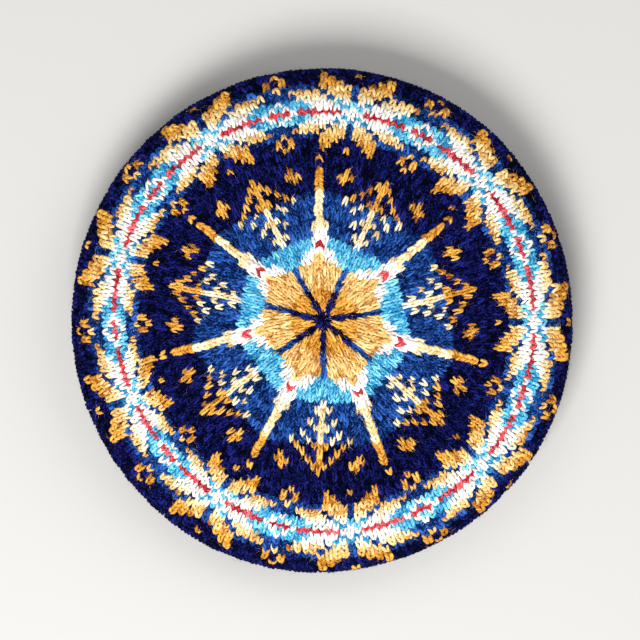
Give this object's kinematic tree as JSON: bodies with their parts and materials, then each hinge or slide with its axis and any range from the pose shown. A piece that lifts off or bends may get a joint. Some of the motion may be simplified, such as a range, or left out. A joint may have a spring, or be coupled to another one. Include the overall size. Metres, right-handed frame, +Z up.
{
  "type": "tam",
  "caption": "Hand-knitted Fair Isle tam: a wide, flat, hollow crown with a patterned wheel and star border, over a ribbed headband.",
  "frame": {"origin": "middle of the headband's lower rim, on the surface that the tam lies on", "axes": "+Z up through the middle of the crown; +Y along one of the wheel's spokes"},
  "size_m": [0.2627, 0.2645, 0.0471],
  "materials": {
    "patterned_wool": "stranded knitting in two-ply wool, in rounds of navy to light blue and gold to white and red",
    "ribbed_wool": "navy two-by-two ribbing in the same wool"
  },
  "bodies": {
    "root": {"crown": "patterned_wool", "headband": "ribbed_wool"}
  },
  "joints": []
}
